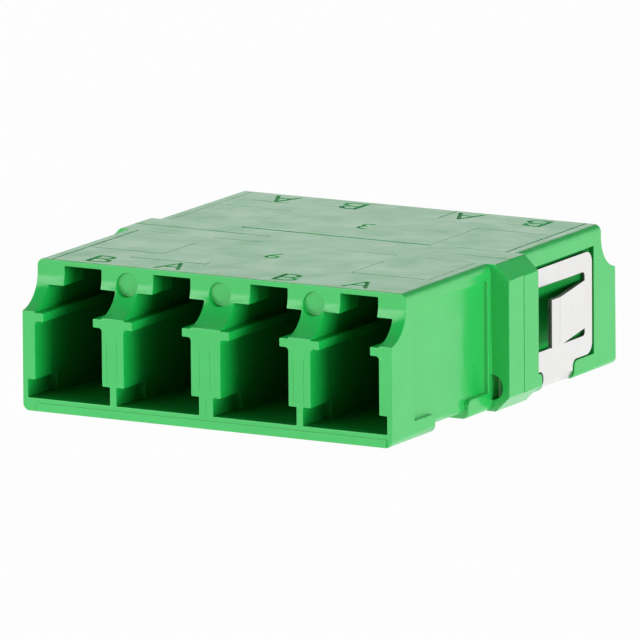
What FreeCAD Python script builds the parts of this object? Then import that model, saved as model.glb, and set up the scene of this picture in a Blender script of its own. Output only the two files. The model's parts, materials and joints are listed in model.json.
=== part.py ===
"""LC fibre adapter with four ports: two moulded halves, a folded spring clip and four split sleeves.

Frame: millimetres. +X runs across the row of ports, +Y from the front ports to the rear ports, +Z up.
The origin is the middle of the base, under the weld seam.
"""

import FreeCAD, Part
import math
import os
import Sketcher

FRONT, REAR = -1, 1
LEFT, RIGHT = -1, 1

# Every driving dimension, in millimetres, by the name that it has in the spreadsheet.
DIMENSIONS = {
    # moulded body
    "half_length": 14.5,
    "half_width": 12.88,
    "height": 9.15,
    "edge_round": 0.45,
    # scoop that sets the upper part of each end back, so that a latch can be reached
    "scoop_depth": 1.88,
    "scoop_foot": 6.22,
    "scoop_head": 8.28,
    "scoop_radius": 2.2,
    # ports
    "port_pitch": 6.25,
    "pair_pitch": 6.78,
    "port_width": 4.7,
    "port_floor": 0.83,
    "port_depth": 12.5,
    "foot_width": 5.77,
    "foot_top": 1.95,
    "foot_depth": 2.65,
    "rail_gap": 3.48,
    "rail_low": 5.58,
    "rail_top": 6.13,
    "rail_fillet": 0.22,
    "slot_top": 7.57,
    "notch_width": 2.57,
    "notch_top": 8.79,
    "notch_depth": 8.0,
    "catch_front": 4.2,
    "catch_back": 10.0,
    "catch_top": 8.4,
    "lip_low": 0.05,
    "lip_top": 0.52,
    "lip_left": 11.8,
    "lip_right": 12.5,
    "lip_proud": 0.07,
    # ejector marks in the scoop, one over each divider
    "mark_radius": 0.725,
    "mark_height": 8.0,
    "mark_depth": 2.06,
    # ferrule axis, with the barrel that holds each sleeve
    "ferrule_height": 3.2,
    "barrel_radius": 1.45,
    "barrel_end": 3.9,
    "sleeve_seat_radius": 0.82,
    "sleeve_seat_half": 3.45,
    "barrel_throat_radius": 0.7,
    "barrel_mouth_radius": 0.95,
    # flange that stops the body against its panel
    "flange_half_width": 14.18,
    "flange_half_depth": 1.92,
    "flange_chamfer": 0.95,
    "flange_hole_radius": 0.8,
    "flange_hole_height": 1.5,
    "flange_hole_depth": 1.0,
    # tongue that laps the front half over the rear half in the middle of the top
    "tongue_half_width": 6.6,
    "tongue_depth": 1.8,
    "tongue_low": 8.15,
    "lap_gap": 0.05,
    # seat of the clip: a recess in each side, open to a shallow channel under the body
    "seat_floor": 12.53,
    "seat_near": 2.22,
    "seat_far": 11.6,
    "seat_low": 1.18,
    "seat_high": 8.15,
    "seat_round": 0.4,
    "channel_near": 4.82,
    "channel_far": 9.0,
    "channel_height": 0.33,
    "channel_round": 0.4,
    # folded clip
    "sheet": 0.32,
    "bend_inside": 0.35,
    "plate_near": 2.4,
    "plate_far": 11.45,
    "plate_low": 1.24,
    "plate_high": 7.75,
    "plate_round": 0.75,
    "neck_near": 4.97,
    "neck_far": 8.85,
    "neck_round": 0.45,
    "window_near": 3.1,
    "window_far": 10.45,
    "window_low": 2.53,
    "window_high": 6.53,
    "window_round": 0.26,
    "tab_low": 2.95,
    "tab_high": 6.0,
    "tab_root": 10.4,
    "tab_bend": 5.08,
    "tab_tip": 3.67,
    "tab_bend_out": 1.235,
    "tab_tip_out": 1.41,
    # split sleeves
    "sleeve_radius": 0.8,
    "sleeve_bore_radius": 0.63,
    "sleeve_length": 6.8,
    "slit_width": 0.3,
}

PLANE_NORMAL = {"XY_Plane": 1, "XZ_Plane": -1, "YZ_Plane": 1}
POINT_ON_ORIGIN = (-1, 1)

document = FreeCAD.newDocument("LcFibreAdapter")


def make_sheet():
    """The spreadsheet of driving dimensions: a name in column A, its value in column B."""
    sheet = document.addObject("Spreadsheet::Sheet", "Dims")
    for row, (name, size) in enumerate(DIMENSIONS.items(), start=1):
        sheet.set(f"A{row}", name)
        sheet.set(f"B{row}", str(size))
        sheet.setAlias(f"B{row}", name)
    document.recompute()
    return sheet


SHEET = make_sheet()


def dim(name):
    """The spreadsheet's name for a dimension, for use in an expression."""
    return f"Dims.{name}"


def value(expression):
    """What an expression comes to now."""
    return float(SHEET.evalExpression(expression))


def times(sign, expression):
    """An expression with a sign, such as the side or the end that it lies on."""
    return f"{sign} * ({expression})"


# ---------------------------------------------------------------- sketches and features


def rectangle(left, right, low, high):
    """A four-cornered loop, counter-clockwise where left < right and low < high."""
    return [(left, low), (right, low), (right, high), (left, high)]


def side_of_loop(start, end, bend):
    """A loop's side from one corner to the next, and whether it is stored from its end to its start.

    It is a line, or an arc of signed radius bend, positive if it turns left. Arcs run counter-clockwise in a
    sketch, so one that turns right is stored from its end.
    """
    a, b = FreeCAD.Vector(*start, 0), FreeCAD.Vector(*end, 0)
    if not bend:
        return Part.LineSegment(a, b), False
    along = b - a
    rise = math.sqrt(bend * bend - along.Length ** 2 / 4)
    across = FreeCAD.Vector(-along.y, along.x, 0).normalize() * math.copysign(rise, bend)
    centre = (a + b) * 0.5 + across
    first, last = (a, b) if bend > 0 else (b, a)
    angles = [math.atan2(p.y - centre.y, p.x - centre.x) for p in (first, last)]
    if angles[1] < angles[0]:
        angles[1] += 2 * math.pi
    circle = Part.Circle(centre, FreeCAD.Vector(0, 0, 1), abs(bend))
    return Part.ArcOfCircle(circle, *angles), bend < 0


def add_loop(sketch, corners):
    """Add a closed loop. A corner is (u, v), or (u, v, bend) where the side that leaves it is an arc."""
    places = [(value(corner[0]), value(corner[1])) for corner in corners]
    bends = [value(corner[2]) if len(corner) > 2 else 0.0 for corner in corners]
    sides = []
    for corner, start, end, bend in zip(corners, places, places[1:] + places[:1], bends):
        geometry, flipped = side_of_loop(start, end, bend)
        index = sketch.addGeometry(geometry, False)
        sides.append((index, 2, 1) if flipped else (index, 1, 2))
        if bend:
            radius = sketch.addConstraint(Sketcher.Constraint("Radius", index, abs(bend)))
            sketch.setExpression(f"Constraints[{radius}]", f"abs({corner[2]})")
    for (index, start, end), (following, entry, _) in zip(sides, sides[1:] + sides[:1]):
        sketch.addConstraint(Sketcher.Constraint("Coincident", index, end, following, entry))
    for (index, start, _), place, corner in zip(sides, places, corners):
        place_point(sketch, index, start, place, corner)


def place_point(sketch, index, point, place, expressions):
    """Bind a point's two coordinates to the spreadsheet."""
    for kind, distance, expression in zip(("DistanceX", "DistanceY"), place, expressions):
        constraint = Sketcher.Constraint(kind, *POINT_ON_ORIGIN, index, point, distance)
        number = sketch.addConstraint(constraint)
        sketch.setExpression(f"Constraints[{number}]", expression)


def add_circle(sketch, centre, radius):
    """Add a circle, its centre and radius bound to the spreadsheet."""
    place = (value(centre[0]), value(centre[1]))
    circle = Part.Circle(FreeCAD.Vector(*place, 0), FreeCAD.Vector(0, 0, 1), value(radius))
    index = sketch.addGeometry(circle, False)
    number = sketch.addConstraint(Sketcher.Constraint("Radius", index, value(radius)))
    sketch.setExpression(f"Constraints[{number}]", radius)
    place_point(sketch, index, 3, place, centre)


def draw(body, name, plane, loops=(), circles=(), offset="0"):
    """A sketch parallel to one of the body's origin planes, and offset from it along the row's axis."""
    sketch = body.newObject("Sketcher::SketchObject", name)
    role = next(item for item in body.Origin.OriginFeatures if item.Role == plane)
    sketch.AttachmentSupport = [(role, "")]
    sketch.MapMode = "FlatFace"
    sketch.setExpression("AttachmentOffset.Base.z", times(PLANE_NORMAL[plane], offset))
    for loop in loops:
        add_loop(sketch, loop)
    for centre, radius in circles:
        add_circle(sketch, centre, radius)
    document.recompute()
    return sketch


def extrude(body, kind, name, sketch, length, towards):
    """Pad or pocket a sketch, along the row axis with the sign towards, or half each way if that is 0."""
    plane = sketch.AttachmentSupport[0][0].Role
    before = body.Shape.Volume if body.Tip else 0.0
    feature = body.newObject("PartDesign::" + kind, name)
    feature.Profile = sketch
    feature.setExpression("Length", length)
    feature.SideType = "One side" if towards else "Symmetric"
    along_normal = towards * PLANE_NORMAL[plane] > 0
    feature.Reversed = bool(towards) and along_normal == (kind == "Pocket")
    document.recompute()
    grown = body.Shape.Volume - before
    if (grown <= 0) == (kind == "Pad"):
        raise RuntimeError(f"{body.Label}: {name} changed the volume by {grown:.4f}")
    return feature


def pad(body, name, sketch, length, towards=0):
    """Add material over a sketch."""
    return extrude(body, "Pad", name, sketch, length, towards)


def pocket(body, name, sketch, length, towards=0):
    """Take material away over a sketch."""
    return extrude(body, "Pocket", name, sketch, length, towards)


def dress(body, kind, name, size, chosen):
    """Fillet or chamfer the edges of the body's latest shape for which chosen(edge) is true."""
    base = body.Tip
    edges = [f"Edge{i}" for i, edge in enumerate(base.Shape.Edges, start=1) if chosen(edge)]
    if not edges:
        raise RuntimeError(f"{body.Label}: {name} found no edge")
    feature = body.newObject("PartDesign::" + kind, name)
    feature.Base = (base, edges)
    feature.setExpression("Radius" if kind == "Fillet" else "Size", size)
    document.recompute()
    return feature


def mirror_across(body, name, features):
    """Repeat features on the body's other side, across its middle plane."""
    feature = body.newObject("PartDesign::Mirrored", name)
    feature.Originals = features
    middle = next(item for item in body.Origin.OriginFeatures if item.Role == "YZ_Plane")
    feature.MirrorPlane = (middle, [""])
    body.Tip = feature
    document.recompute()
    return feature


def new_body(name):
    """An empty body, named as its node."""
    body = document.addObject("PartDesign::Body", name)
    body.Label = name
    return body


# ---------------------------------------------------------------- where things repeat


def port_centres():
    """The X of the four ports, from left to right: two pairs about the middle."""
    inner = f"{dim('pair_pitch')} / 2"
    outer = f"{inner} + {dim('port_pitch')}"
    return [times(LEFT, outer), times(LEFT, inner), inner, outer]


def divider_centres():
    """The X of the three walls between ports."""
    beside = f"{dim('pair_pitch')} / 2 + {dim('port_pitch')} / 2"
    return [times(LEFT, beside), "0", beside]


def edge_is_straight_along(edge, axis):
    """Whether an edge is a line along one row axis."""
    if edge.Curve.TypeId != "Part::GeomLine":
        return False
    return abs(abs(edge.Curve.Direction.dot(axis)) - 1) < 1e-6


# ---------------------------------------------------------------- moulded halves


def scooped_block(body, end):
    """The body's outside: its side outline, with the scoop at the port end, padded across the full width."""
    face = times(end, dim("half_length"))
    set_back = times(end, f"{dim('half_length')} - {dim('scoop_depth')}")
    bend = times(-end, dim("scoop_radius"))
    outline = [
        ("0", "0"),
        (face, "0"),
        (face, dim("scoop_foot"), bend),
        (set_back, dim("scoop_head")),
        (set_back, dim("height")),
        ("0", dim("height")),
    ]
    sketch = draw(body, "SideOutline", "YZ_Plane", [outline])
    pad(body, "Block", sketch, f"2 * {dim('half_width')}")
    half_width = value(dim("half_width"))
    along = FreeCAD.Vector(0, 1, 0)

    def long_corner(edge):
        return edge_is_straight_along(edge, along) and abs(abs(edge.CenterOfMass.x) - half_width) < 1e-6

    dress(body, "Fillet", "LongEdges", dim("edge_round"), long_corner)


def flange(body, end):
    """The panel stop: a band round the seam with its corners cut off, and a blind hole low on each side."""
    wide, chamfer, high = dim("flange_half_width"), dim("flange_chamfer"), dim("height")
    inner = f"{wide} - {chamfer}"
    outline = [
        (times(LEFT, inner), "0"),
        (inner, "0"),
        (wide, chamfer),
        (wide, f"{high} - {chamfer}"),
        (inner, high),
        (times(LEFT, inner), high),
        (times(LEFT, wide), f"{high} - {chamfer}"),
        (times(LEFT, wide), chamfer),
    ]
    sketch = draw(body, "FlangeOutline", "XZ_Plane", [outline])
    pad(body, "Flange", sketch, dim("flange_half_depth"), end)

    edge, radius, middle = dim("half_width"), dim("flange_hole_radius"), dim("flange_hole_height")
    half_round = [(edge, f"{middle} - {radius}", radius), (edge, f"{middle} + {radius}")]
    sketch = draw(
        body,
        "FlangeHoleOutline",
        "XZ_Plane",
        [half_round],
        offset=times(end, dim("flange_half_depth")),
    )
    hole = pocket(body, "FlangeHole", sketch, dim("flange_hole_depth"), -end)
    mirror_across(body, "FlangeHoles", [hole])


def clip_seat(body, end):
    """The recess in each side and the channel under the body, in which a clip can lie flush."""
    near, far = times(end, dim("seat_near")), times(end, dim("seat_far"))
    mouth_near, mouth_far = times(end, dim("channel_near")), times(end, dim("channel_far"))
    ease, low = dim("seat_round"), dim("seat_low")
    turn = times(-end, ease)
    outline = [
        (near, dim("seat_high")),
        (far, dim("seat_high")),
        (far, low),
        (f"{mouth_far} + {times(end, ease)}", low, times(-1, turn)),
        (mouth_far, f"{low} - {ease}"),
        (mouth_far, "0"),
        (mouth_near, "0"),
        (mouth_near, f"{low} - {ease}", times(-1, turn)),
        (f"{mouth_near} - {times(end, ease)}", low),
        (near, low),
    ]
    sketch = draw(body, "SeatOutline", "YZ_Plane", [outline], offset=dim("seat_floor"))
    depth = f"{dim('half_width')} - {dim('seat_floor')}"
    seat = pocket(body, "Seat", sketch, depth, RIGHT)
    mirror_across(body, "Seats", [seat])

    channel = rectangle(mouth_near, mouth_far, "0", dim("channel_height"))
    sketch = draw(body, "ChannelOutline", "YZ_Plane", [channel])
    pocket(body, "Channel", sketch, f"2 * {dim('half_width')}")
    floor, ceiling = value(dim("seat_floor")), value(dim("channel_height"))
    along = FreeCAD.Vector(0, 1, 0)

    def turned_corner(edge):
        middle = edge.CenterOfMass
        at_corner = abs(abs(middle.x) - floor) < 1e-6 and abs(middle.z - ceiling) < 1e-6
        return at_corner and edge_is_straight_along(edge, along)

    dress(body, "Fillet", "ChannelCorners", dim("channel_round"), turned_corner)


def port_outline(centre):
    """A port's section: the space for a plug, a gap between two rails over it, and a slot for its latch."""
    wide, gap, fillet = f"{dim('port_width')} / 2", f"{dim('rail_gap')} / 2", dim("rail_fillet")
    floor, low, high, top = (dim(name) for name in ("port_floor", "rail_low", "rail_top", "slot_top"))
    return [
        (f"{centre} - {wide}", floor),
        (f"{centre} + {wide}", floor),
        (f"{centre} + {wide}", f"{low} - {fillet}", fillet),
        (f"{centre} + {wide} - {fillet}", low),
        (f"{centre} + {gap}", low),
        (f"{centre} + {gap}", high),
        (f"{centre} + {wide}", high),
        (f"{centre} + {wide}", top),
        (f"{centre} - {wide}", top),
        (f"{centre} - {wide}", high),
        (f"{centre} - {gap}", high),
        (f"{centre} - {gap}", low),
        (f"{centre} - {wide} + {fillet}", low, fillet),
        (f"{centre} - {wide}", f"{low} - {fillet}"),
    ]


def strip(centre, width, low, high):
    """A rectangle of a port's section, centred on the port."""
    half = f"{dim(width)} / 2"
    return rectangle(f"{centre} - {half}", f"{centre} + {half}", dim(low), dim(high))


def ports(body, end):
    """The four sockets of one end, with their wide feet, latch notches and the catches for the latches."""
    face = times(end, dim("half_length"))
    catch = times(end, f"{dim('half_length')} - {dim('catch_front')}")
    catch_length = f"{dim('catch_back')} - {dim('catch_front')}"
    centres = port_centres()
    feet = [strip(centre, "foot_width", "port_floor", "foot_top") for centre in centres]
    notches = [strip(centre, "notch_width", "rail_top", "notch_top") for centre in centres]
    catches = [strip(centre, "port_width", "rail_top", "catch_top") for centre in centres]
    cuts = (
        ("Sockets", [port_outline(centre) for centre in centres], face, dim("port_depth")),
        ("Feet", feet, face, dim("foot_depth")),
        ("Notches", notches, face, dim("notch_depth")),
        ("Catches", catches, catch, catch_length),
    )
    for name, loops, offset, depth in cuts:
        sketch = draw(body, name + "Outline", "XZ_Plane", loops, offset=offset)
        pocket(body, name, sketch, depth, -end)


def end_details(body, end):
    """The thin lip along the foot of the port face, and the round mark over each divider."""
    face = times(end, dim("half_length"))
    lip = rectangle(times(LEFT, dim("lip_left")), dim("lip_right"), dim("lip_low"), dim("lip_top"))
    sketch = draw(body, "LipOutline", "XZ_Plane", [lip], offset=face)
    pad(body, "Lip", sketch, dim("lip_proud"), end)
    circles = [((centre, dim("mark_height")), dim("mark_radius")) for centre in divider_centres()]
    sketch = draw(body, "MarkOutline", "XZ_Plane", circles=circles, offset=face)
    pocket(body, "Marks", sketch, dim("mark_depth"), -end)


def barrels(body, end):
    """The tubes on the socket floors that hold the sleeves, each with a seat and a funnel over it."""
    height = dim("ferrule_height")
    floor = f"{dim('half_length')} - {dim('port_depth')}"
    tubes = [((centre, height), dim("barrel_radius")) for centre in port_centres()]
    sketch = draw(body, "BarrelOutline", "XZ_Plane", circles=tubes, offset=times(end, floor))
    pad(body, "Barrels", sketch, f"{dim('barrel_end')} - ({floor})", end)
    seats = [((centre, height), dim("sleeve_seat_radius")) for centre in port_centres()]
    sketch = draw(body, "SleeveSeatOutline", "XZ_Plane", circles=seats)
    pocket(body, "SleeveSeats", sketch, dim("sleeve_seat_half"), end)
    for number, centre in enumerate(port_centres(), start=1):
        funnel(body, end, number, centre)


def funnel(body, end, number, centre):
    """One barrel's mouth: a cone, turned about the ferrule's axis, that narrows inwards to the seat."""
    throat, mouth = (times(end, dim(name)) for name in ("sleeve_seat_half", "barrel_end"))
    section = [
        ("0", throat),
        (dim("barrel_throat_radius"), throat),
        (dim("barrel_mouth_radius"), mouth),
        ("0", mouth),
    ]
    axis = [(f"{centre} + {across}", along) for across, along in section]
    sketch = draw(body, f"Funnel{number}Outline", "XY_Plane", [axis], offset=dim("ferrule_height"))
    feature = body.newObject("PartDesign::Groove", f"Funnel{number}")
    feature.Profile = sketch
    feature.ReferenceAxis = (sketch, ["Edge4"])
    feature.Angle = 360
    document.recompute()


def front_housing():
    """The front half, with the tongue that laps over the rear half."""
    body = new_body("front_housing")
    scooped_block(body, FRONT)
    flange(body, FRONT)
    clip_seat(body, FRONT)
    ports(body, FRONT)
    barrels(body, FRONT)
    end_details(body, FRONT)
    tongue = rectangle("0", dim("tongue_depth"), dim("tongue_low"), dim("height"))
    sketch = draw(body, "TongueOutline", "YZ_Plane", [tongue])
    pad(body, "Tongue", sketch, f"2 * {dim('tongue_half_width')}")
    return body


def rear_housing():
    """The rear half, with the rebate that takes the front half's tongue."""
    body = new_body("rear_housing")
    scooped_block(body, REAR)
    flange(body, REAR)
    clip_seat(body, REAR)
    ports(body, REAR)
    barrels(body, REAR)
    end_details(body, REAR)
    rebate = rectangle("0", f"{dim('tongue_depth')} + {dim('lap_gap')}", dim("tongue_low"), dim("height"))
    sketch = draw(body, "RebateOutline", "YZ_Plane", [rebate])
    pocket(body, "Rebate", sketch, f"2 * {dim('tongue_half_width')}")
    return body


# ---------------------------------------------------------------- folded clip


def strap_outline():
    """The clip seen along the body: a web under the channel with an arm bent up at each side."""
    inside, sheet, bend = dim("seat_floor"), dim("sheet"), dim("bend_inside")
    outside = f"{inside} + {sheet}"
    top, web_top = dim("plate_high"), dim("channel_height")
    web_low = f"{web_top} - {sheet}"
    outer_bend = f"{bend} + {sheet}"
    shoulder = f"{web_low} + {outer_bend}"
    return [
        (times(LEFT, f"{outside} - ({outer_bend})"), web_low),
        (f"{outside} - ({outer_bend})", web_low, outer_bend),
        (outside, shoulder),
        (outside, top),
        (inside, top),
        (inside, shoulder, times(-1, bend)),
        (f"{inside} - {bend}", web_top),
        (times(LEFT, f"{inside} - {bend}"), web_top, times(-1, bend)),
        (times(LEFT, inside), shoulder),
        (times(LEFT, inside), top),
        (times(LEFT, outside), top),
        (times(LEFT, outside), shoulder, outer_bend),
    ]


def rounded(near, far, low, high, radius):
    """A rectangle with its four corners rounded."""
    return [
        (f"{near} + {radius}", low),
        (f"{far} - {radius}", low, radius),
        (far, f"{low} + {radius}"),
        (far, f"{high} - {radius}", radius),
        (f"{far} - {radius}", high),
        (f"{near} + {radius}", high, radius),
        (near, f"{high} - {radius}"),
        (near, f"{low} + {radius}", radius),
    ]


def tab_outline():
    """The spring tab seen from above: it slopes out from its root on the plate, and ends in a flatter tip."""
    inside, sheet = dim("seat_floor"), dim("sheet")
    root, bend, tip = (dim(name) for name in ("tab_root", "tab_bend", "tab_tip"))
    plate_end = f"{dim('window_far')} + {sheet}"
    return [
        (inside, plate_end),
        (inside, root),
        (f"{inside} + {dim('tab_bend_out')}", bend),
        (f"{inside} + {dim('tab_tip_out')}", tip),
        (f"{inside} + {dim('tab_tip_out')} + {sheet}", tip),
        (f"{inside} + {dim('tab_bend_out')} + {sheet}", bend),
        (f"{inside} + {sheet}", root),
        (f"{inside} + {sheet}", plate_end),
    ]


def mounting_clip():
    """One strip of spring sheet folded to a U, each arm a plate with a lanced tab in its window."""
    body = new_body("mounting_clip")
    middle = f"({dim('neck_near')} + {dim('neck_far')}) / 2"
    width = f"{dim('neck_far')} - {dim('neck_near')}"
    sketch = draw(body, "StrapOutline", "XZ_Plane", [strap_outline()], offset=middle)
    pad(body, "Strap", sketch, width)

    inside, sheet = dim("seat_floor"), dim("sheet")
    plate = rounded(*(dim("plate_" + edge) for edge in ("near", "far", "low", "high", "round")))
    sketch = draw(body, "PlateOutline", "YZ_Plane", [plate], offset=inside)
    plates = pad(body, "Plate", sketch, sheet, RIGHT)
    mirror_across(body, "Plates", [plates])
    low, mid_sheet = value(dim("plate_low")), value(f"{inside} + {sheet} / 2")
    neck_sides = [value(dim(name)) for name in ("neck_near", "neck_far")]

    def armpit(edge):
        place = edge.CenterOfMass
        beside = min(abs(place.y - side) for side in neck_sides) < 1e-6
        return beside and abs(place.z - low) < 1e-6 and abs(abs(place.x) - mid_sheet) < 1e-6

    dress(body, "Fillet", "Armpits", dim("neck_round"), armpit)

    window = rounded(*(dim("window_" + edge) for edge in ("near", "far", "low", "high", "round")))
    sketch = draw(body, "WindowOutline", "YZ_Plane", [window], offset=inside)
    windows = pocket(body, "Window", sketch, sheet, RIGHT)
    mirror_across(body, "Windows", [windows])

    sketch = draw(body, "TabOutline", "XY_Plane", [tab_outline()], offset=dim("tab_low"))
    tab = pad(body, "Tab", sketch, f"{dim('tab_high')} - {dim('tab_low')}", 1)
    mirror_across(body, "Tabs", [tab])
    return body


# ---------------------------------------------------------------- split sleeves


def split_sleeve(number, centre):
    """A thin ceramic tube, slit along its length so that it grips both ferrules."""
    body = new_body(f"split_sleeve_{number}")
    axis = ("0", "0")
    ring = [(axis, dim("sleeve_radius")), (axis, dim("sleeve_bore_radius"))]
    sketch = draw(body, "Ring", "XZ_Plane", circles=ring)
    pad(body, "Tube", sketch, dim("sleeve_length"))
    half_slit = f"{dim('slit_width')} / 2"
    slit = rectangle(times(-1, half_slit), half_slit, "0", f"2 * {dim('sleeve_radius')}")
    sketch = draw(body, "SlitOutline", "XZ_Plane", [slit])
    pocket(body, "Slit", sketch, f"2 * {dim('sleeve_length')}")
    body.setExpression("Placement.Base.x", centre)
    body.setExpression("Placement.Base.z", dim("ferrule_height"))
    return body


# ---------------------------------------------------------------- build, test and write


def check_document():
    """Stop if any object failed to recompute, which FreeCAD doesn't raise by itself."""
    for item in document.Objects:
        if "Invalid" in item.State or "Error" in item.State:
            raise RuntimeError(f"{item.Label} is {item.State}")


def check_shape(body):
    """Stop if a body isn't one valid solid."""
    shape = body.Shape
    if shape.isNull() or not shape.isValid() or len(shape.Solids) != 1:
        raise RuntimeError(f"{body.Label} isn't one valid solid")


def main():
    pieces = [front_housing(), rear_housing(), mounting_clip()]
    for number, centre in enumerate(port_centres(), start=1):
        pieces.append(split_sleeve(number, centre))
    document.recompute()
    check_document()
    for piece in pieces:
        check_shape(piece)
    os.makedirs("parts", exist_ok=True)
    for piece in pieces:
        piece.Shape.exportStep(f"parts/{piece.Label}.step")
        box = piece.Shape.BoundBox
        sides = " x ".join(f"{side:.3f}" for side in (box.XLength, box.YLength, box.ZLength))
        print(f"{piece.Label}: {piece.Shape.Volume:.2f} mm3, {sides} mm")


main()
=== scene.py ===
"""Looks of a four-port LC fibre adapter: moulded green halves, a spring clip and ceramic sleeves.

Lengths are in metres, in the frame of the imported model: +X across the ports, +Y from front to rear, +Z up.
The origin is in the middle of the base, under the seam between the halves.
"""

import json
import math

import bmesh
import bpy
from mathutils import Matrix, Vector


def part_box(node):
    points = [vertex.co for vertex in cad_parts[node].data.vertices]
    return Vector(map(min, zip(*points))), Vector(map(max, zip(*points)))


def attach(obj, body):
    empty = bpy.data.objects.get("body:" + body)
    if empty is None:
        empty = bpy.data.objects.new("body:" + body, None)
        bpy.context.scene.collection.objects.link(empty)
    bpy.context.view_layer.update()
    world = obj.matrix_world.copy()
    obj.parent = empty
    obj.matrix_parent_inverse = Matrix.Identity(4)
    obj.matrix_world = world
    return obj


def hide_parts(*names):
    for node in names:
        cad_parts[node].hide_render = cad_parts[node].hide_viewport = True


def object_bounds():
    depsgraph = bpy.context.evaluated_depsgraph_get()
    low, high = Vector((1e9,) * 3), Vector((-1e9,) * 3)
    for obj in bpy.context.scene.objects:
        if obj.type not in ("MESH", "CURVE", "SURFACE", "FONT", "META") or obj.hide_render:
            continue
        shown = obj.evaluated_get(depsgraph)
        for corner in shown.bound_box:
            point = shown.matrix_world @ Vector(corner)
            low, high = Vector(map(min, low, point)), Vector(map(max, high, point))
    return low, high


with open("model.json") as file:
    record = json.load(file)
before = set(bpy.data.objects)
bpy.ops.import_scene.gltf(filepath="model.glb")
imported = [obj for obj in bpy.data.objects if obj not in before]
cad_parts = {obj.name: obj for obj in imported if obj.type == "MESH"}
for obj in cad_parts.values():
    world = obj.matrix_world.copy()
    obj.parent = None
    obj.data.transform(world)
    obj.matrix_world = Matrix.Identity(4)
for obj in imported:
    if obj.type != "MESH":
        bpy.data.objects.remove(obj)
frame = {"nodes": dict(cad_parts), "record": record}
cad_low, cad_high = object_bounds()

bl_info = {
    "name": "LC fibre adapter",
    "version": (1, 0, 0),
    "blender": (4, 5, 0),
    "location": "3D View > Sidebar > Adapter",
    "description": "Dresses the packed adapter in its moulded, steel and ceramic finishes",
    "category": "Object",
}

MM = 0.001
BODY = "root"

MERGE_DISTANCE = 1e-7                # vertices closer than this are merged
NEAR = 0.01 * MM                     # places closer than this count as the same
FLAT_ANGLE = math.radians(0.5)       # faces that meet at less than this are one flat face
SHARP_ANGLE = math.radians(35)       # edges that turn more than this are rounded

# ---------------------------------------------------------------- places on the part

MOUNTS = {mount["name"]: mount["pos_m"] for mount in frame["record"]["mounts"]}

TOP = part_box("front_housing")[1].z
FACE = MOUNTS["rear_port_1_plug"][1]
FLANGE_FACE = MOUNTS["panel_snap"][1]
PAIR_CENTRE = (MOUNTS["rear_port_3_plug"][0] + MOUNTS["rear_port_4_plug"][0]) / 2

# What the frame doesn't name, as the solids have it. Widths are from the middle, lengths from the seam.
BODY_HALF_WIDTH = 12.88 * MM
LONG_ROUND = 0.46 * MM
TONGUE_HALF_WIDTH = 6.6 * MM
SCOOP_DEPTH = 1.88 * MM
LIP_TOP = 0.52 * MM
SEAT_FLOOR = 12.53 * MM
SEAT_CEILING = 8.15 * MM

# Limits that take in a socket's walls, the outer ports' feet and the clip's seat, and nothing of the outside.
SOCKET_SIDE = 12.2 * MM
SOCKET_LOW, SOCKET_HIGH = 0.6 * MM, TOP - 0.2 * MM
FOOT_SIDE = 12.6 * MM
FOOT_BACK = 11.7 * MM
SEAT_SIDE = SEAT_FLOOR - 0.05 * MM
SEAT_NEAR, SEAT_FAR = 2.0 * MM, 11.62 * MM
SEAT_LOW = 1.1 * MM


# ---------------------------------------------------------------- sizes and colours that a user may change


class HalvesSettings(bpy.types.PropertyGroup):
    colour: bpy.props.FloatVectorProperty(
        name="Plastic", description="Colour of the moulding", subtype="COLOR", size=3,
        default=(0.014, 0.520, 0.088), min=0.0, max=1.0,
    )
    shade: bpy.props.FloatVectorProperty(
        name="Flow shade", description="Colour where the melt flowed thin", subtype="COLOR", size=3,
        default=(0.010, 0.480, 0.074), min=0.0, max=1.0,
    )
    # Painted shade: the sockets' walls are coloured darker towards this with depth, to stand for the shade
    # deep in them.
    socket: bpy.props.FloatVectorProperty(
        name="Socket shade", description="Colour painted deep in the sockets as their shade",
        subtype="COLOR", size=3, default=(0.006, 0.200, 0.028), min=0.0, max=1.0,
    )
    ceiling_drop: bpy.props.FloatProperty(
        name="Ceiling drop", description="How far the clip seat's upper wall comes down to the clip",
        unit="LENGTH", default=0.2 * MM, min=0.0,
    )
    edge: bpy.props.FloatProperty(
        name="Edge round", description="Radius of the moulded edges",
        unit="LENGTH", default=0.07 * MM, min=0.0,
    )
    roughness: bpy.props.FloatProperty(
        name="Roughness", description="Roughness of the moulded skin",
        default=0.20, min=0.0, max=1.0,
    )


class MarksSettings(bpy.types.PropertyGroup):
    # Painted shade: the sunk strokes are lined with a darker, duller green than the moulding.
    colour: bpy.props.FloatVectorProperty(
        name="Shade in sunk strokes", description="Colour of the plastic in the sunk strokes", subtype="COLOR", size=3,
        default=(0.065, 0.360, 0.125), min=0.0, max=1.0,
    )
    letter_height: bpy.props.FloatProperty(
        name="Letter height", description="Height of the polarity letters",
        unit="LENGTH", default=2.0 * MM,
    )
    numeral_height: bpy.props.FloatProperty(
        name="Numeral height", description="Height of the cavity numerals", unit="LENGTH", default=1.6 * MM,
    )
    depth: bpy.props.FloatProperty(
        name="Depth", description="Depth of the joint lines. Letters and numerals are a little shallower",
        unit="LENGTH", default=0.08 * MM,
    )
    line_width: bpy.props.FloatProperty(
        name="Line width", description="Width of the joint lines on the top",
        unit="LENGTH", default=0.12 * MM,
    )
    hairline: bpy.props.FloatProperty(
        name="Hairline", description="Width of the inserts' outlines on the end faces, cut half as deep",
        unit="LENGTH", default=0.025 * MM,
    )


class ClipSettings(bpy.types.PropertyGroup):
    colour: bpy.props.FloatVectorProperty(
        name="Steel", description="Colour of the rolled faces", subtype="COLOR", size=3,
        default=(0.88, 0.89, 0.89), min=0.0, max=1.0,
    )
    sheared: bpy.props.FloatVectorProperty(
        name="Sheared edge", description="Colour of the stamped edges", subtype="COLOR", size=3,
        default=(0.24, 0.24, 0.23), min=0.0, max=1.0,
    )
    edge: bpy.props.FloatProperty(
        name="Edge round", description="Radius of the tumbled edges", unit="LENGTH", default=0.06 * MM,
    )


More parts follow.
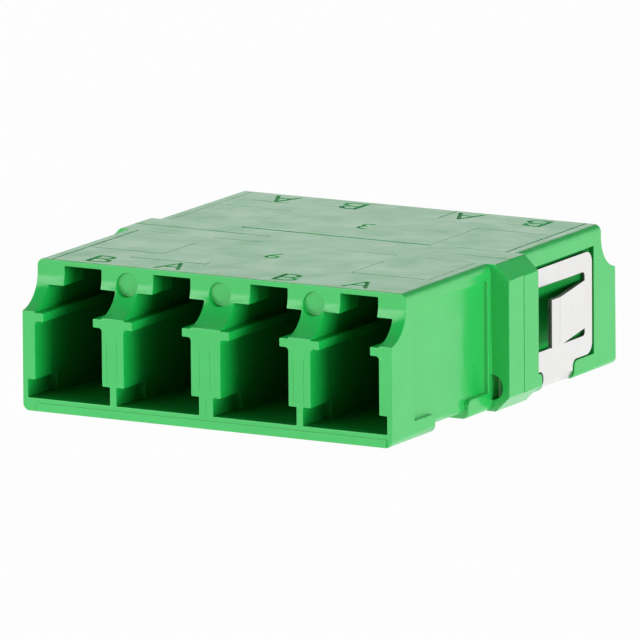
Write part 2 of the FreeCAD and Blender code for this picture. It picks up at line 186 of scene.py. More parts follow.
class SleevesSettings(bpy.types.PropertyGroup):
    colour: bpy.props.FloatVectorProperty(
        name="Ceramic", description="Colour of the sleeves", subtype="COLOR", size=3,
        default=(0.86, 0.84, 0.78), min=0.0, max=1.0,
    )
    edge: bpy.props.FloatProperty(
        name="Edge round", description="Radius of the ground ends", unit="LENGTH", default=0.03 * MM,
    )


class StageSettings(bpy.types.PropertyGroup):
    floor: bpy.props.FloatVectorProperty(
        name="Floor", description="Colour of the floor", subtype="COLOR", size=3,
        default=(0.90, 0.90, 0.90), min=0.0, max=1.0,
    )
    azimuth: bpy.props.FloatProperty(
        name="Azimuth", description="Camera's direction round the part", subtype="ANGLE",
        default=math.radians(29.19),
    )
    elevation: bpy.props.FloatProperty(
        name="Elevation", description="Camera's height over the horizon", subtype="ANGLE",
        default=math.radians(11.23),
    )
    roll: bpy.props.FloatProperty(
        name="Roll", description="Camera's tilt about its own axis", subtype="ANGLE",
        default=math.radians(-0.46),
    )
    distance: bpy.props.FloatProperty(
        name="Distance", description="From the camera to the part", unit="LENGTH", default=0.706,
    )
    lens: bpy.props.FloatProperty(
        name="Lens", description="Focal length in millimetres", default=643.5,
    )
    ambient: bpy.props.FloatProperty(
        name="Ambient light", description="Strength of the light from all round", default=0.05, min=0.0,
    )
    overhead: bpy.props.FloatProperty(
        name="Overhead", description="How bright the room's upper part looks in a gloss",
        default=0.05, min=0.0,
    )


# ---------------------------------------------------------------- small helpers


def only(piece):
    """Select one object and nothing else."""
    bpy.ops.object.select_all(action="DESELECT")
    piece.select_set(True)
    bpy.context.view_layer.objects.active = piece


def apply_modifier(piece, kind, **values):
    """Add a modifier, set it up and apply it."""
    only(piece)
    bpy.ops.object.modifier_add(type=kind)
    modifier = piece.modifiers[-1]
    for name, value in values.items():
        setattr(modifier, name, value)
    bpy.ops.object.modifier_apply(modifier=modifier.name)


def whole_copy(node, name):
    """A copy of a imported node's mesh, its loose triangles merged and its flat faces made whole."""
    piece = bpy.data.objects.new(name, frame["nodes"][node].data.copy())
    piece.data.name = name
    bpy.context.scene.collection.objects.link(piece)
    only(piece)
    bpy.ops.object.mode_set(mode="EDIT")
    bpy.ops.mesh.select_all(action="SELECT")
    bpy.ops.mesh.customdata_custom_splitnormals_clear()
    bpy.ops.mesh.remove_doubles(threshold=MERGE_DISTANCE)
    bpy.ops.mesh.dissolve_limited(angle_limit=FLAT_ANGLE)
    bpy.ops.object.mode_set(mode="OBJECT")
    piece.data.materials.clear()
    return piece


def full_round(middle, direction):
    """The share of the round that an edge has where all edges have the same."""
    return 1.0


def weigh_edges(piece, weight_of=full_round):
    """Give each sharp edge the bevel weight that weight_of(middle, direction) says."""
    mesh = bmesh.new()
    mesh.from_mesh(piece.data)
    layer = mesh.edges.layers.float.new("bevel_weight_edge")
    for edge in mesh.edges:
        if len(edge.link_faces) == 2 and edge.calc_face_angle() > SHARP_ANGLE:
            first, last = (vertex.co for vertex in edge.verts)
            edge[layer] = weight_of((first + last) / 2, (last - first).normalized())
    mesh.to_mesh(piece.data)
    mesh.free()


def soften(piece, width):
    """Round the weighted edges to a width."""
    apply_modifier(
        piece, "BEVEL", limit_method="WEIGHT", width=width, segments=2, use_clamp_overlap=False,
        miter_outer="MITER_SHARP", harden_normals=False,
    )


def shade(piece):
    """Shade the flat faces flat and the rounds smooth."""
    only(piece)
    bpy.ops.object.shade_smooth_by_angle(angle=SHARP_ANGLE)
    apply_modifier(piece, "WEIGHTED_NORMAL", keep_sharp=True, weight=50)


def stand_for(piece, node):
    """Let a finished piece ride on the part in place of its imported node."""
    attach(piece, BODY)
    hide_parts(node)


# ---------------------------------------------------------------- shader groups and materials


def new_group(name, inputs, outputs):
    """A shader node group: inputs and outputs are (name, socket kind, default) rows."""
    tree = bpy.data.node_groups.new(name, "ShaderNodeTree")
    for label, kind, default in inputs:
        socket = tree.interface.new_socket(label, in_out="INPUT", socket_type=kind)
        socket.default_value = default
    for label, kind in outputs:
        tree.interface.new_socket(label, in_out="OUTPUT", socket_type=kind)
    return tree, tree.nodes.new("NodeGroupInput"), tree.nodes.new("NodeGroupOutput")


def feed(tree, value, socket):
    """Link a socket to another one, or set it to a plain value."""
    if isinstance(value, bpy.types.NodeSocket):
        tree.links.new(value, socket)
    else:
        socket.default_value = value


def worked_out(tree, operation, first, second=0.0):
    """What a Math node makes of one or two numbers or sockets."""
    node = tree.nodes.new("ShaderNodeMath")
    node.operation = operation
    feed(tree, first, node.inputs[0])
    feed(tree, second, node.inputs[1])
    return node.outputs["Value"]


def ranged(tree, value, source=(0.0, 1.0), target=(0.0, 1.0), smooth=False):
    """A value carried from a source range to a target range, and held at their ends."""
    node = tree.nodes.new("ShaderNodeMapRange")
    node.interpolation_type = "SMOOTHSTEP" if smooth else "LINEAR"
    feed(tree, value, node.inputs["Value"])
    for name, end in zip(("From Min", "From Max", "To Min", "To Max"), (*source, *target)):
        feed(tree, end, node.inputs[name])
    return node.outputs["Result"]


def cloud_group():
    """Slow, soft variation over a surface, put out between two limits."""
    tree, entry, exit_ = new_group(
        "SlowCloud",
        [
            ("Scale", "NodeSocketFloat", 200.0),
            ("Low", "NodeSocketFloat", 0.0),
            ("High", "NodeSocketFloat", 1.0),
        ],
        [("Value", "NodeSocketFloat")],
    )
    place = tree.nodes.new("ShaderNodeTexCoord")
    noise = tree.nodes.new("ShaderNodeTexNoise")
    noise.inputs["Detail"].default_value = 3.0
    tree.links.new(place.outputs["Object"], noise.inputs["Vector"])
    tree.links.new(entry.outputs["Scale"], noise.inputs["Scale"])
    limits = (entry.outputs["Low"], entry.outputs["High"])
    tree.links.new(ranged(tree, noise.outputs["Fac"], (0.3, 0.7), limits), exit_.inputs["Value"])
    return tree


def grain_group():
    """Fine height of a surface, drawn out along the axis with the smaller stretch."""
    tree, entry, exit_ = new_group(
        "FineGrain",
        [("Stretch", "NodeSocketVector", (1.0, 1.0, 1.0)), ("Scale", "NodeSocketFloat", 4000.0)],
        [("Height", "NodeSocketFloat")],
    )
    place = tree.nodes.new("ShaderNodeTexCoord")
    drawn = tree.nodes.new("ShaderNodeVectorMath")
    drawn.operation = "MULTIPLY"
    noise = tree.nodes.new("ShaderNodeTexNoise")
    noise.inputs["Detail"].default_value = 4.0
    noise.inputs["Roughness"].default_value = 0.6
    tree.links.new(place.outputs["Object"], drawn.inputs[0])
    tree.links.new(entry.outputs["Stretch"], drawn.inputs[1])
    tree.links.new(drawn.outputs["Vector"], noise.inputs["Vector"])
    tree.links.new(entry.outputs["Scale"], noise.inputs["Scale"])
    tree.links.new(noise.outputs["Fac"], exit_.inputs["Height"])
    return tree


def specks_group():
    """Sparse round specks: 1 in a speck and 0 elsewhere."""
    tree, entry, exit_ = new_group(
        "Specks",
        [("Scale", "NodeSocketFloat", 900.0), ("Size", "NodeSocketFloat", 0.08)],
        [("Mask", "NodeSocketFloat")],
    )
    place = tree.nodes.new("ShaderNodeTexCoord")
    cells = tree.nodes.new("ShaderNodeTexVoronoi")
    tree.links.new(place.outputs["Object"], cells.inputs["Vector"])
    tree.links.new(entry.outputs["Scale"], cells.inputs["Scale"])
    in_speck = worked_out(tree, "LESS_THAN", cells.outputs["Distance"], entry.outputs["Size"])
    tree.links.new(in_speck, exit_.inputs["Mask"])
    return tree


def shade_depth_group():
    """How deep a point lies in a socket: 0 at the end faces and the scoops, 1 from Reach on.

    The floor of a socket and the roof of its latch slot count as deeper than they lie, so that the painted
    shade which this mask drives is darker on them.
    """
    tree, entry, exit_ = new_group(
        "SocketShadeDepth", [("Reach", "NodeSocketFloat", 4.5 * MM)], [("Depth", "NodeSocketFloat")]
    )
    place = tree.nodes.new("ShaderNodeTexCoord")
    split = tree.nodes.new("ShaderNodeSeparateXYZ")
    tree.links.new(place.outputs["Object"], split.inputs["Vector"])

    def by_height(low, high, at_low, at_high):
        return ranged(tree, split.outputs["Z"], (low, high), (at_low, at_high))

    mouth = by_height(5.6 * MM, 8.3 * MM, FACE, FACE - 1.9 * MM)
    # The floor and the latch slot's roof get extra depth, so that the painted shade falls darker on them.
    floor_extra = by_height(0.8 * MM, 2.4 * MM, 3.2 * MM, 0.0)
    roof_extra = by_height(7.3 * MM, 8.8 * MM, 0.0, 2.5 * MM)
    behind = worked_out(tree, "SUBTRACT", mouth, worked_out(tree, "ABSOLUTE", split.outputs["Y"]))
    total = worked_out(tree, "ADD", worked_out(tree, "ADD", behind, floor_extra), roof_extra)
    depth = ranged(tree, total, source=(0.0, entry.outputs["Reach"]), smooth=True)
    tree.links.new(depth, exit_.inputs["Depth"])
    return tree


def shared_groups():
    """The groups that several finishes use, made the first time that one asks for them."""
    makers = {
        "SlowCloud": cloud_group,
        "FineGrain": grain_group,
        "Specks": specks_group,
        "SocketShadeDepth": shade_depth_group,
    }
    return {name: bpy.data.node_groups.get(name) or make() for name, make in makers.items()}


def new_material(name):
    """A material with a bare Principled shader."""
    material = bpy.data.materials.new(name)
    material.use_nodes = True
    tree = material.node_tree
    return material, tree, next(node for node in tree.nodes if node.type == "BSDF_PRINCIPLED")


def use_group(tree, group, **values):
    """Place a shared group in a material, with its own values."""
    node = tree.nodes.new("ShaderNodeGroup")
    node.node_tree = group
    for name, value in values.items():
        node.inputs[name.capitalize()].default_value = value
    return node.outputs[0]


def blend_colours(tree, factor, first, second):
    """first where factor is 0, second where it is 1. Either may be a socket or a colour."""
    mix = tree.nodes.new("ShaderNodeMix")
    mix.data_type = "RGBA"
    tree.links.new(factor, mix.inputs["Factor"])
    ends = [socket for socket in mix.inputs if socket.type == "RGBA"]
    for socket, value in zip(ends, (first, second)):
        feed(tree, value if isinstance(value, bpy.types.NodeSocket) else (*value, 1.0), socket)
    return next(socket for socket in mix.outputs if socket.type == "RGBA")


def bump(tree, shader, height, strength, distance, under=None):
    """Raise a surface by a height, on top of another bump where one is given. Returns its normal."""
    node = tree.nodes.new("ShaderNodeBump")
    node.inputs["Strength"].default_value = strength
    node.inputs["Distance"].default_value = distance
    tree.links.new(height, node.inputs["Height"])
    if under is not None:
        tree.links.new(under, node.inputs["Normal"])
    tree.links.new(node.outputs["Normal"], shader.inputs["Normal"])
    return node.outputs["Normal"]


def paint(tree, shader, factor, first, second):
    """Colour a surface: first where factor is 0, second where it is 1."""
    tree.links.new(blend_colours(tree, factor, first, second), shader.inputs["Base Color"])


def roughen(tree, shader, groups, scale, low, high):
    """Let a surface's roughness drift slowly between two limits."""
    drift = use_group(tree, groups["SlowCloud"], scale=scale, low=low, high=high)
    tree.links.new(drift, shader.inputs["Roughness"])


def times(colour, *shares):
    """A colour with each channel taken times its share."""
    return [channel * share for channel, share in zip(colour, shares)]


def plastic(groups, settings):
    """Glossy moulded polyester: slow flow marks, a fine skin and a speck or two of dust."""
    material, tree, shader = new_material("moulded_green")
    flow = use_group(tree, groups["SlowCloud"], scale=160.0)
    tint = blend_colours(tree, flow, settings.colour, settings.shade)
    dust = use_group(tree, groups["Specks"], scale=420.0, size=0.035)
    pale = [channel + 0.06 for channel in settings.colour]
    paint(tree, shader, dust, tint, pale)
    roughen(tree, shader, groups, 420.0, settings.roughness - 0.04, settings.roughness + 0.07)
    shader.inputs["IOR"].default_value = 1.8
    shader.inputs["Sheen Weight"].default_value = 0.12
    shader.inputs["Sheen Roughness"].default_value = 0.5
    shader.inputs["Sheen Tint"].default_value = (0.8, 0.95, 1.0, 1.0)
    sink = use_group(tree, groups["SlowCloud"], scale=330.0)
    grain = use_group(tree, groups["FineGrain"], scale=2600.0)
    sunk = bump(tree, shader, sink, strength=0.8, distance=0.030 * MM)
    bump(tree, shader, grain, strength=0.15, distance=0.006 * MM, under=sunk)
    return material


def socket_shaded_plastic(name, groups, settings, reach, lighter_inside=False):
    """The spark-eroded skin in the sockets and under the clip: duller with depth, up to reach, and painted
    darker with it as the shade in them.

    With lighter_inside the painted shade is darkest at the end face instead, and lighter towards the seam.
    """
    material, tree, shader = new_material(name)
    flow = use_group(tree, groups["SlowCloud"], scale=160.0)
    tint = blend_colours(tree, flow, settings.colour, settings.shade)
    depth = use_group(tree, groups["SocketShadeDepth"], reach=reach)
    # Painted shade: the base colour goes from the moulding's tint to the dark socket colour with depth.
    ends = (settings.socket, tint) if lighter_inside else (tint, settings.socket)
    paint(tree, shader, depth, *ends)
    tree.links.new(ranged(tree, depth, target=(0.35, 0.65)), shader.inputs["Roughness"])
    shader.inputs["Specular IOR Level"].default_value = 0.08
    erosion = use_group(tree, groups["FineGrain"], scale=3500.0)
    bump(tree, shader, erosion, strength=0.3, distance=0.008 * MM)
    return material


def groove_shade_plastic(groups, settings):
    """The dull floor of the sunk letters and lines, painted a darker, duller green as the shade in the
    strokes, with lighter patches that drift at random.
    """
    material, tree, shader = new_material("sunk_shaded_green")
    wax = use_group(tree, groups["SlowCloud"], scale=900.0)
    paint(tree, shader, wax, settings.colour, times(settings.colour, 1.8, 1.8, 1.8))
    shader.inputs["Roughness"].default_value = 0.6
    grain = use_group(tree, groups["FineGrain"], scale=6000.0)
    bump(tree, shader, grain, strength=0.2, distance=0.006 * MM)
    return material


def rolled_steel(groups, settings):
    """Bright rolled spring steel, its grain along the clip's arms."""
    material, tree, shader = new_material("rolled_steel")
    wash = use_group(tree, groups["SlowCloud"], scale=260.0)
    paint(tree, shader, wash, settings.colour, times(settings.colour, 0.98, 0.95, 0.92))
    shader.inputs["Metallic"].default_value = 1.0
    roughen(tree, shader, groups, 700.0, 0.22, 0.34)
    grain = use_group(tree, groups["FineGrain"], scale=9000.0, stretch=(1.0, 1.0, 0.03))
    bump(tree, shader, grain, strength=0.10, distance=0.004 * MM)
    return material


def sheared_steel(groups, settings):
    """The stamped edges of the sheet: darker, with the punch's streaks across the thickness."""
    material, tree, shader = new_material("sheared_steel")
    wash = use_group(tree, groups["SlowCloud"], scale=2500.0)
    paint(tree, shader, wash, settings.sheared, times(settings.sheared, 0.55, 0.55, 0.55))
    shader.inputs["Metallic"].default_value = 1.0
    roughen(tree, shader, groups, 3000.0, 0.35, 0.55)
    streaks = use_group(tree, groups["FineGrain"], scale=16000.0, stretch=(0.05, 1.0, 1.0))
    bump(tree, shader, streaks, strength=0.4, distance=0.01 * MM)
    return material


def ceramic(groups, settings):
    """Ground and polished zirconia: warm white, with faint grinding marks round the tube."""
    material, tree, shader = new_material("white_ceramic")
    wash = use_group(tree, groups["SlowCloud"], scale=900.0)
    paint(tree, shader, wash, settings.colour, times(settings.colour, 1.0, 0.97, 0.9))
    roughen(tree, shader, groups, 1500.0, 0.12, 0.22)
    shader.inputs["IOR"].default_value = 2.1
    ground = use_group(tree, groups["FineGrain"], scale=12000.0, stretch=(0.2, 1.0, 0.2))
    bump(tree, shader, ground, strength=0.15, distance=0.004 * MM)
    return material


# ---------------------------------------------------------------- moulded halves


CREST_ROUND = 0.4              # the crest of the lip under the ports is too thin for the full round
ALL_BUT_STRAIGHT = 0.99        # a direction's share along an axis, from which it runs along that axis


def edge_round(middle, direction):
    """The share of the full round that an edge of a half has, by its middle and its direction.

    These stay sharp: the lip's other edges, the seam's at the tongue's ends and on the flange's slanted
    corners, and the flange's where the body's long rounds run into it.
    """
    across, along, height = abs(middle.x), abs(middle.y), middle.z
    if along > FACE - NEAR and height < LIP_TOP + 0.03 * MM:
        proud_and_high = along > FACE + 0.05 * MM and height > LIP_TOP - 0.12 * MM
        return CREST_ROUND if proud_and_high and abs(direction.x) > ALL_BUT_STRAIGHT else 0.0
    on_tongue_end = abs(direction.y) > ALL_BUT_STRAIGHT and abs(across - TONGUE_HALF_WIDTH) < NEAR
    on_flange_corner = along < NEAR and abs(direction.x) > 0.5 and abs(direction.z) > 0.5
    if on_flange_corner or (on_tongue_end and height > TOP - NEAR):
        return 0.0
    at_flange = abs(along - FLANGE_FACE) < NEAR and across < BODY_HALF_WIDTH + NEAR
    on_round_end = at_flange and not LONG_ROUND < height < TOP - LONG_ROUND
    return 0.0 if on_round_end else 1.0


def in_socket(face):
    """Whether a face is a wall of a socket, and not part of the scoops or of the outside."""
    side, along, height = abs(face.center.x), abs(face.center.y), face.center.z
    on_scoop = abs(face.normal.y) > 0.05 and along > FACE - SCOOP_DEPTH - 0.5 * MM
    within_walls = side < SOCKET_SIDE or (along > FOOT_BACK and side < FOOT_SIDE)
    inside = within_walls and along < FACE - 0.05 * MM and SOCKET_LOW < height < SOCKET_HIGH
    return inside and not on_scoop


def in_seat(place):
    """Whether a point lies on the floor or the walls of the clip's seat."""
    within_sides = SEAT_SIDE < abs(place.x) < BODY_HALF_WIDTH - NEAR
    return within_sides and SEAT_NEAR < place.y < SEAT_FAR and SEAT_LOW < place.z < SEAT_CEILING + 0.05 * MM


def lower_seat_ceiling(half, drop):
    """Bring the upper wall of the clip's seat close to the clip."""
    for vertex in half.data.vertices:
        place = vertex.co
        over_seat = SEAT_SIDE < abs(place.x) and SEAT_NEAR < place.y < SEAT_FAR
        if over_seat and abs(place.z - SEAT_CEILING) < NEAR:
            place.z -= drop


class ADAPTER_OT_mould_halves(bpy.types.Operator):
    """Make the two moulded halves with their rounded edges"""

    bl_idname = "adapter.mould_halves"
    bl_label = "Mould halves"

    def execute(self, context):
        settings = context.scene.adapter_halves
        groups = shared_groups()
        finishes = (
            plastic(groups, settings),
            # The sockets' walls and the clip's seat get finishes whose colour is painted shade.
            socket_shaded_plastic("socket_shaded_green", groups, settings, 4.5 * MM),
            socket_shaded_plastic("seat_shaded_green", groups, settings, 18.0 * MM, lighter_inside=True),
        )
        for node, name in (("front_housing", "front_half"), ("rear_housing", "rear_half")):
            half = whole_copy(node, name)
            for finish in finishes:
                half.data.materials.append(finish)
            for face in half.data.polygons:
                face.material_index = 2 if in_seat(face.center) else 1 if in_socket(face) else 0
            lower_seat_ceiling(half, settings.ceiling_drop)
            weigh_edges(half, edge_round)
            soften(half, settings.edge)
            stand_for(half, node)
        return {"FINISHED"}


# ---------------------------------------------------------------- sunk letters and mould lines


B_STRETCH = 1.18        # a B is cut wider than the font draws it, to its left


def text_cutter(character, place, facing, height, depth):
    """A sunk character's tool, the middle of its base at place (x, y).

    facing is 1 where the character is read from the front, and -1 where it is read from the rear.
    """
    bpy.ops.object.text_add(location=(0.0, 0.0, 0.0))
    text = bpy.context.object
    text.data.body = character
    text.data.resolution_u = 4
    only(text)
    bpy.ops.object.convert(target="MESH")
    tool = bpy.context.object
    xs = [vertex.co.x for vertex in tool.data.vertices]
    ys = [vertex.co.y for vertex in tool.data.vertices]
    size = height / (max(ys) - min(ys))
    wide = B_STRETCH if character == "B" else 1.0
    middle = (min(xs) + max(xs)) / 2 + (wide - 1.0) * (max(xs) - min(xs)) / 2 / wide
    tool.data.transform(Matrix.Translation((-middle, -min(ys), 0.0)))
    tool.data.transform(Matrix.Diagonal((size * wide, size, 1.0, 1.0)))
    turn = Matrix.Rotation(0.0 if facing > 0 else math.pi, 4, "Z")
    tool.data.transform(Matrix.Translation((*place, TOP - depth)) @ turn)
    bpy.ops.object.mode_set(mode="EDIT")
    bpy.ops.mesh.select_all(action="SELECT")
    bpy.ops.mesh.remove_doubles(threshold=MERGE_DISTANCE)
    bpy.ops.mesh.extrude_region_move(TRANSFORM_OT_translate={"value": (0.0, 0.0, 2.0 * depth)})
    bpy.ops.mesh.select_all(action="SELECT")
    bpy.ops.mesh.normals_make_consistent(inside=False)
    bpy.ops.object.mode_set(mode="OBJECT")
    return tool


def bar_cutter(low, high):
    """A groove's tool: a box from low to high."""
    low, high = Vector(low), Vector(high)
    bpy.ops.mesh.primitive_cube_add(size=1.0, location=(low + high) / 2, scale=high - low)
    only(bpy.context.object)
    bpy.ops.object.transform_apply(location=True, rotation=True, scale=True)
    return bpy.context.object


def top_line(start, end, share, settings):
    """The tool of a joint line on the top, from (x, y) to (x, y), which differ in one of the two."""
    half = share * settings.line_width / 2
    return bar_cutter(
        (min(start[0], end[0]) - half, min(start[1], end[1]) - half, TOP - settings.depth),
        (max(start[0], end[0]) + half, max(start[1], end[1]) + half, TOP + settings.depth),
    )


def face_line(x_low, x_high, z_low, z_high, end, settings):
    """The tool of a hairline on the end face at end, -1 in front and 1 at the rear."""
    ys = sorted((end * (FACE - settings.hairline / 2), end * (FACE + settings.hairline)))
    return bar_cutter((x_low, ys[0], z_low), (x_high, ys[1], z_high))


def cut(piece, tools, material):
    """Take tools out of a piece one by one, line the cuts with a material, and delete the tools."""
    for tool in tools:
        tool.data.materials.append(material)
        apply_modifier(
            piece, "BOOLEAN", operation="DIFFERENCE", solver="EXACT", material_mode="TRANSFER", object=tool
        )
        bpy.data.objects.remove(tool)


# The joint lines that only one half has: (x, y) to (x, y) in millimetres, and a share of the line's width.
OWN_LINES = {
    -1: (
        ((-6.4, -1.95), (-2.95, -1.95), 0.6),       # along the flange, on the left
        ((2.2, -1.95), (6.4, -1.95), 0.6),          # along the flange, on the right
        ((-7.9, -9.75), (-2.65, -9.75), 1.0),       # over two letters
        ((-2.65, -9.75), (-2.65, -9.1), 0.5),       # the same line's short return
        ((-6.6, -0.05), (-3.6, -0.05), 0.9),        # beside the seam
    ),
    1: (
        ((-6.6, 1.84), (6.6, 1.84), 1.8),           # along the tongue's end
        ((-10.45, 10.1), (-8.0, 10.1), 0.8),        # over the leftmost letter
        ((7.5, 10.1), (10.0, 10.1), 0.4),           # over the rightmost letter
        ((2.8, 10.0), (2.8, 12.35), 0.8),           # beside a letter
    ),
}


def joint_lines(end):
    """The joint lines on the top of the half at end, as (x, y) ends in metres and a share of the width."""
    rib, out, corner = 11.88 * MM, 11.6 * MM, TONGUE_HALF_WIDTH
    near, far, edge = 1.95 * MM, 8.0 * MM, 12.4 * MM
    lines = []
    for side in (-1, 1):
        faint = 0.35 if side < 0 < end else 0.8
        rib_end = far if end < 0 < side else edge
        corner_start = near if side > 0 and end > 0 else 2 * near
        lines += [
            ((side * rib, end * near), (side * rib, end * rib_end), 0.7 + 0.3 * side * end),
            ((side * corner, end * far), (side * out, end * far), faint),
            ((side * corner, end * corner_start), (side * corner, end * far), faint / 2),
            ((side * 1.3 * corner, end * near), (side * out, end * near), faint / 2),
        ]
    for start, finish, share in OWN_LINES[end]:
        lines.append(([value * MM for value in start], [value * MM for value in finish], share))
    return lines


def insert_outlines(end, settings):
    """The tools of an end face's hairlines: the insert pins' outlines on the dividers, and the rims'."""
    wide = settings.hairline
    half, low, high = 0.375 * MM, 2.33 * MM, 4.86 * MM
    rim_inner, rim_outer, rim_low = 12.05 * MM, 12.75 * MM, 2.42 * MM
    tools = []
    for divider in (-PAIR_CENTRE, 0.0, PAIR_CENTRE):
        x = divider - 0.06 * MM
        tools.append(face_line(x - half, x - half + wide, low, high, end, settings))
        tools.append(face_line(x + half - wide, x + half, low, high, end, settings))
        tools.append(face_line(x - half + 2 * wide, x + half - 2 * wide, low - wide, low, end, settings))
    tools.append(face_line(-wide / 2, wide / 2, 0.7 * MM, 1.9 * MM, end, settings))
    for side in (-1, 1):
        left, right = sorted((side * rim_inner, side * rim_outer))
        tools.append(face_line(left, right, rim_low, rim_low + 2 * wide, end, settings))
        tools.append(face_line(left, right, high, high + wide, end, settings))
    return tools


class ADAPTER_OT_engrave_marks(bpy.types.Operator):
    """Sink the polarity letters, the cavity numerals and the mould's joint lines"""

    bl_idname = "adapter.engrave_marks"
    bl_label = "Engrave marks"

    def execute(self, context):
        settings = context.scene.adapter_marks
        # The letters and joint lines are lined with the painted-shade green; the numerals and hairlines keep
        # the moulding's own.
        sunk = groove_shade_plastic(shared_groups(), settings)
        letter_base, letter_step = 12.1 * MM, 2.42 * MM
        xs = [pair + step for pair in (-PAIR_CENTRE, PAIR_CENTRE) for step in (-letter_step, letter_step)]
        numeral_base, numeral_depth = 6.3 * MM, 0.75 * settings.depth
        for name, end, letters, letter_share, numeral, numeral_x in (
            ("front_half", -1, "BABA", 0.85, "6", -0.2 * MM),
            ("rear_half", 1, "ABAB", 0.65, "3", 0.1 * MM),
        ):
            half = bpy.data.objects[name]
            depth = letter_share * settings.depth
            sunk_tools = [
                text_cutter(letter, (x, end * letter_base), -end, settings.letter_height, depth)
                for letter, x in zip(letters, xs)
            ]
            sunk_tools += [top_line(*line, settings) for line in joint_lines(end)]
            cut(half, sunk_tools, sunk)
            place = (numeral_x, end * numeral_base)
            clean_tools = [text_cutter(numeral, place, -end, settings.numeral_height, numeral_depth)]
            cut(half, clean_tools + insert_outlines(end, settings), half.data.materials[0])
            shade(half)
        return {"FINISHED"}


# ---------------------------------------------------------------- clip and sleeves


def set_bends(clip):
    """Bring the tabs' bends close to their tips, and further out, so that the tips lie along the plates."""
    free_from = SEAT_FLOOR + 1.0 * MM        # the free ends of the tabs, with tip and bend, lie further out
    tip_until = 4.0 * MM                     # the tips lie nearer to the seam than this, and the bends beyond
    for vertex in clip.data.vertices:
        place = vertex.co
        if abs(place.x) < free_from:
            continue
        place.z += 0.1 * MM
        if place.y > tip_until:
            place.y -= 0.4 * MM
            place.x += math.copysign(0.16 * MM, place.x)
        else:
            place.y -= 0.2 * MM


def is_sheared(face):
    """Whether a face is a cut edge of the sheet: it faces along Y, or up or down on the arms."""
    on_arm = abs(face.center.x) > SEAT_FLOOR - NEAR and face.center.z > 0.6 * MM
    return abs(face.normal.y) > 0.9 or (on_arm and abs(face.normal.x) < 0.3)


class ADAPTER_OT_finish_clip(bpy.types.Operator):
    """Make the folded spring clip with its rolled faces and stamped edges"""

    bl_idname = "adapter.finish_clip"
    bl_label = "Finish clip"

    def execute(self, context):
        settings = context.scene.adapter_clip
        clip = whole_copy("mounting_clip", "spring_clip")
        groups = shared_groups()
        clip.data.materials.append(rolled_steel(groups, settings))
        clip.data.materials.append(sheared_steel(groups, settings))
        for face in clip.data.polygons:
            face.material_index = 1 if is_sheared(face) else 0
        set_bends(clip)
        weigh_edges(clip)
        soften(clip, settings.edge)
        shade(clip)
        stand_for(clip, "mounting_clip")
        return {"FINISHED"}


class ADAPTER_OT_finish_sleeves(bpy.types.Operator):
    """Make the four split ceramic sleeves with their eased ends"""

    bl_idname = "adapter.finish_sleeves"
    bl_label = "Finish sleeves"

    def execute(self, context):
        settings = context.scene.adapter_sleeves
        white = ceramic(shared_groups(), settings)
        for number in range(1, 5):
            node = f"split_sleeve_{number}"
            sleeve = whole_copy(node, f"ceramic_sleeve_{number}")
            sleeve.data.materials.append(white)
            weigh_edges(sleeve)
            soften(sleeve, settings.edge)
            shade(sleeve)
            stand_for(sleeve, node)
        return {"FINISHED"}


# ---------------------------------------------------------------- floor, light and camera


def pale_to_the_eye(tree):
    """1 for what the camera, a gloss or a clear body sees, 0 for the rays that light the part."""
    ray = tree.nodes.new("ShaderNodeLightPath").outputs
    seen = worked_out(tree, "MAXIMUM", ray["Is Camera Ray"], ray["Is Glossy Ray"])
    return worked_out(tree, "MAXIMUM", seen, ray["Is Transmission Ray"])


def light_the_world(settings):
    """A backdrop all round, white to the eye up to where it ends overhead, and an even, dim light."""
    world = bpy.data.worlds.new("StudioWorld")
    bpy.context.scene.world = world
    world.use_nodes = True
    tree = world.node_tree
    background = tree.nodes["Background"]
    background.inputs["Color"].default_value = (1.0, 1.0, 1.0, 1.0)
    place = tree.nodes.new("ShaderNodeTexCoord")
    split = tree.nodes.new("ShaderNodeSeparateXYZ")
    tree.links.new(place.outputs["Generated"], split.inputs["Vector"])
    low_end, high_end = 0.20, 0.50        # sines of the elevations between which the backdrop fades out
    backdrop = ranged(tree, split.outputs["Z"], (low_end, high_end), (1.0, settings.overhead), smooth=True)
    strength = ranged(tree, pale_to_the_eye(tree), target=(settings.ambient, backdrop))
    tree.links.new(strength, background.inputs["Strength"])


def floor_paint(settings):
    """Matt pale floor that also glows, most to the eye, so that only the part's own shadow shows."""
    material, tree, shader = new_material("pale_floor")
    shader.inputs["Base Color"].default_value = (*settings.floor, 1.0)
    shader.inputs["Roughness"].default_value = 0.9
    glow = tree.nodes.new("ShaderNodeEmission")
    glow.inputs["Color"].default_value = (1.0, 1.0, 1.0, 1.0)
    mix = tree.nodes.new("ShaderNodeMixShader")
    glow_as_light, glow_to_the_eye = 0.88, 0.97
    share = ranged(tree, pale_to_the_eye(tree), target=(glow_as_light, glow_to_the_eye))
    tree.links.new(share, mix.inputs["Fac"])
    tree.links.new(shader.outputs["BSDF"], mix.inputs[1])
    tree.links.new(glow.outputs["Emission"], mix.inputs[2])
    output = next(node for node in tree.nodes if node.type == "OUTPUT_MATERIAL")
    tree.links.new(mix.outputs["Shader"], output.inputs["Surface"])
    return material


LAMP_DISTANCE = 0.7

# Name, azimuth and elevation in degrees, power in watts, size in metres, and whether a gloss shows it.
LAMPS = (
    ("left_lamp", -40.0, 5.0, 4.3, (0.9, 0.4), False),
    ("left_screen", -40.0, 14.0, 1.2, (0.9, 0.4), True),
    ("right_lamp", 80.0, 3.0, 5.9, (0.4, 0.3), False),
    ("top_lamp", -120.0, 50.0, 1.9, (0.8, 0.3), False),
)


def toward(azimuth, elevation):
    """The direction from the part to an azimuth, 0 in front and 90 degrees at the right, and an elevation."""
    across = math.cos(elevation)
    return Vector((math.sin(azimuth) * across, -math.cos(azimuth) * across, math.sin(elevation)))


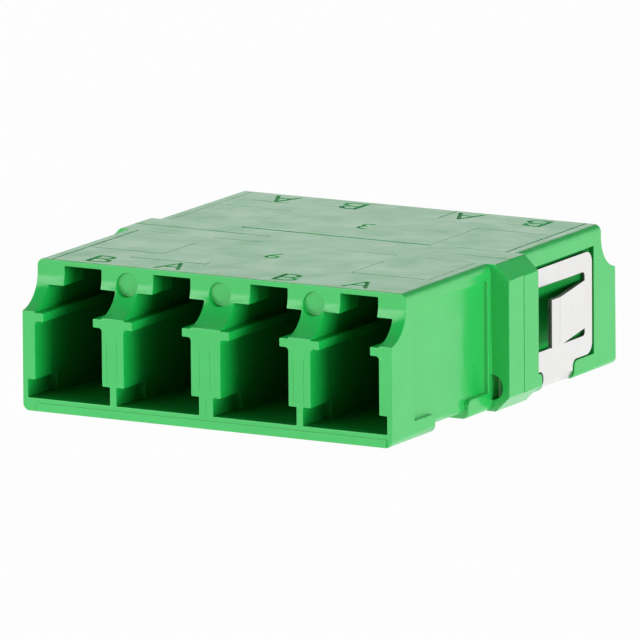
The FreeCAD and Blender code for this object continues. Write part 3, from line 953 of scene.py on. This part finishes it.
def soft_lamp(name, azimuth, elevation, power, size, in_gloss):
    """A soft lamp that faces the part."""
    away = toward(math.radians(azimuth), math.radians(elevation))
    bpy.ops.object.light_add(type="AREA", location=away * LAMP_DISTANCE)
    lamp = bpy.context.object
    lamp.name = name
    lamp.rotation_euler = away.to_track_quat("Z", "Y").to_euler()
    lamp.data.shape = "RECTANGLE"
    lamp.data.size, lamp.data.size_y = size
    lamp.data.energy = power
    lamp.visible_camera = False
    lamp.visible_glossy = in_gloss


class ADAPTER_OT_set_stage(bpy.types.Operator):
    """Lay the floor and set the lamps and the camera"""

    bl_idname = "adapter.set_stage"
    bl_label = "Set stage"

    def execute(self, context):
        settings = context.scene.adapter_stage
        bpy.ops.mesh.primitive_plane_add(size=8.0, location=(0.0, 0.0, cad_low.z))
        floor = context.object
        floor.name = "floor"
        floor.data.materials.append(floor_paint(settings))
        light_the_world(settings)
        for lamp in LAMPS:
            soft_lamp(*lamp)
        self.place_camera(context, settings)
        context.scene.view_settings.view_transform = "Standard"
        return {"FINISHED"}

    def place_camera(self, context, settings):
        """Set the camera to look at the middle of the part."""
        aim = Vector((-0.060 * MM, -0.105 * MM, 4.200 * MM))
        away = toward(settings.azimuth, settings.elevation)
        bpy.ops.object.camera_add(location=aim + away * settings.distance)
        camera = context.object
        upright = away.to_track_quat("Z", "Y").to_matrix().to_4x4()
        tilt = Matrix.Rotation(settings.roll, 4, "Z")
        camera.rotation_euler = (upright @ tilt).to_euler()
        camera.data.lens = settings.lens
        camera.data.sensor_width = 36.0
        camera.data.clip_start = 0.01
        camera.data.clip_end = 20.0
        context.scene.camera = camera


# ---------------------------------------------------------------- panel, registration and main


OPERATORS = (
    ADAPTER_OT_mould_halves,
    ADAPTER_OT_engrave_marks,
    ADAPTER_OT_finish_clip,
    ADAPTER_OT_finish_sleeves,
    ADAPTER_OT_set_stage,
)

SETTINGS = {
    "adapter_halves": HalvesSettings,
    "adapter_marks": MarksSettings,
    "adapter_clip": ClipSettings,
    "adapter_sleeves": SleevesSettings,
    "adapter_stage": StageSettings,
}


class ADAPTER_PT_sidebar(bpy.types.Panel):
    """The adapter's steps and settings"""

    bl_idname = "ADAPTER_PT_sidebar"
    bl_label = "LC fibre adapter"
    bl_space_type = "VIEW_3D"
    bl_region_type = "UI"
    bl_category = "Adapter"

    def draw(self, context):
        for operator in OPERATORS:
            self.layout.operator(operator.bl_idname)
        for name, group in SETTINGS.items():
            box = self.layout.box()
            for field in group.__annotations__:
                box.prop(getattr(context.scene, name), field)


def register():
    for group in (*SETTINGS.values(), *OPERATORS, ADAPTER_PT_sidebar):
        bpy.utils.register_class(group)
    for name, group in SETTINGS.items():
        setattr(bpy.types.Scene, name, bpy.props.PointerProperty(type=group))


def unregister():
    for name in SETTINGS:
        delattr(bpy.types.Scene, name)
    for group in (ADAPTER_PT_sidebar, *reversed(OPERATORS), *SETTINGS.values()):
        bpy.utils.unregister_class(group)


def main():
    register()
    bpy.ops.adapter.set_stage()
    bpy.ops.adapter.mould_halves()
    bpy.ops.adapter.engrave_marks()
    bpy.ops.adapter.finish_clip()
    bpy.ops.adapter.finish_sleeves()


if __name__ == "__main__":
    main()
